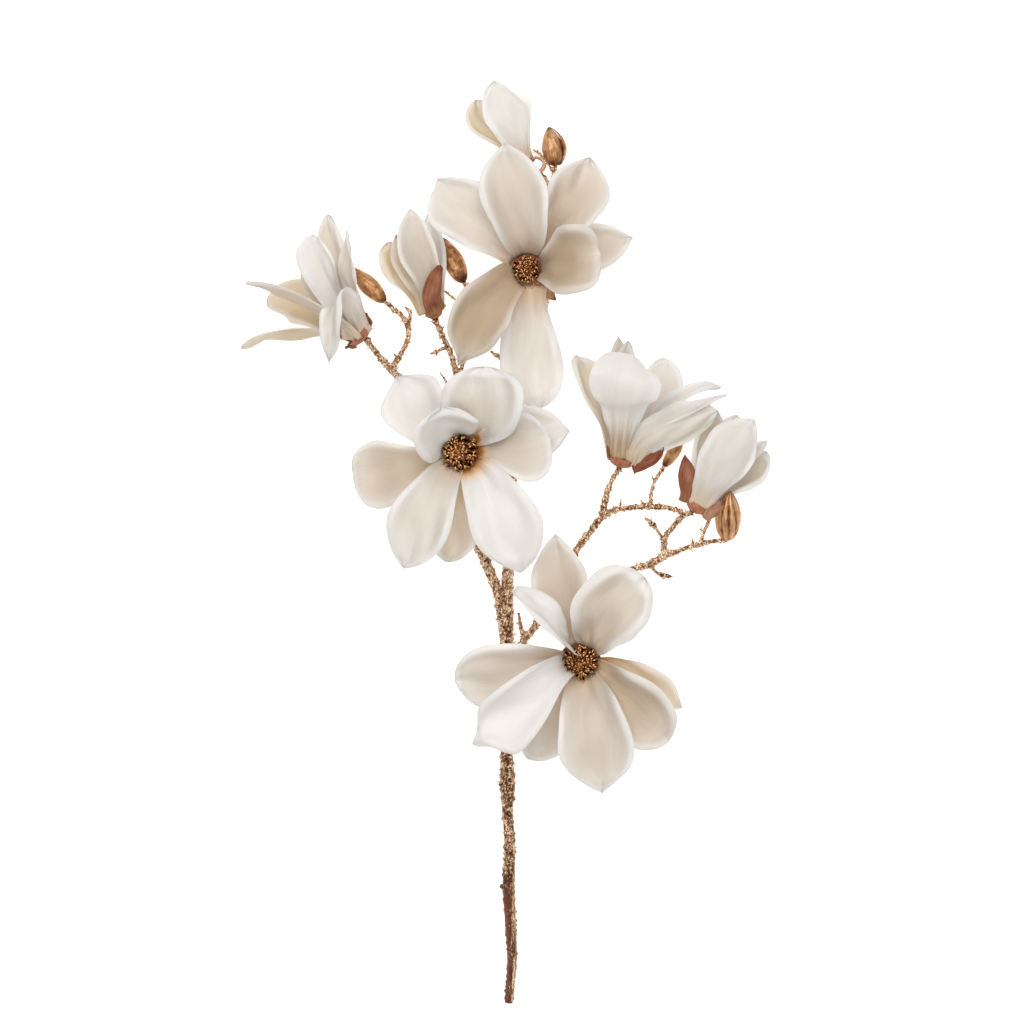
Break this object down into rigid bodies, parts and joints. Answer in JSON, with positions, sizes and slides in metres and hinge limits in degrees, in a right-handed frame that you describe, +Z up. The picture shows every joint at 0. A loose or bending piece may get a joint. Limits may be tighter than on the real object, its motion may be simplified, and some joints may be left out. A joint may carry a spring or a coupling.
{
  "type": "magnolia branch",
  "caption": "Decorative magnolia branch with cream fabric blossoms, gilt buds and a knobbly bronze-gold stem, lying flat on a surface.",
  "frame": {"origin": "on the surface, under the middle of the branch's bounding box", "axes": "+Y along the stem from its cut end to the top blossom, +X to the right when seen from above with the cut end nearest, +Z up from the surface"},
  "size_m": [0.483, 0.8384, 0.1273],
  "materials": {
    "petal": "matte",
    "bract": "matte",
    "bark": "satin",
    "bud": "satin",
    "stamen": "satin"
  },
  "bodies": {
    "root": {"main_stem": "bark", "left_branch": "bark", "right_branch": "bark", "bud_left": "bud", "bud_middle": "bud", "bud_crown": "bud", "bud_right": "bud", "bud_low": "bud", "top_stamens": "stamen", "middle_stamens": "stamen", "lower_stamens": "stamen", "left_calyx": "bract", "upper_left_calyx": "bract", "right_calyx": "bract", "far_right_calyx": "bract", "top_petal_1": "petal", "top_petal_2": "petal", "top_petal_3": "petal", "top_petal_4": "petal", "top_petal_5": "petal", "top_petal_6": "petal", "top_petal_7": "petal", "middle_petal_1": "petal", "middle_petal_2": "petal", "middle_petal_3": "petal", "middle_petal_4": "petal", "middle_petal_5": "petal", "middle_petal_6": "petal", "middle_petal_7": "petal", "middle_petal_8": "petal", "middle_petal_9": "petal", "lower_petal_1": "petal", "lower_petal_2": "petal", "lower_petal_3": "petal", "lower_petal_4": "petal", "lower_petal_5": "petal", "lower_petal_6": "petal", "lower_petal_7": "petal", "lower_petal_8": "petal", "lower_petal_9": "petal", "left_petal_1": "petal", "left_petal_2": "petal", "left_petal_3": "petal", "left_petal_4": "petal", "left_petal_5": "petal", "left_petal_6": "petal", "upper_left_petal_1": "petal", "upper_left_petal_2": "petal", "upper_left_petal_3": "petal", "crown_petal_1": "petal", "crown_petal_2": "petal", "right_petal_1": "petal", "right_petal_2": "petal", "right_petal_3": "petal", "right_petal_5": "petal", "right_petal_6": "petal", "right_petal_7": "petal", "far_right_petal_1": "petal", "far_right_petal_2": "petal", "far_right_petal_3": "petal"}
  },
  "joints": []
}
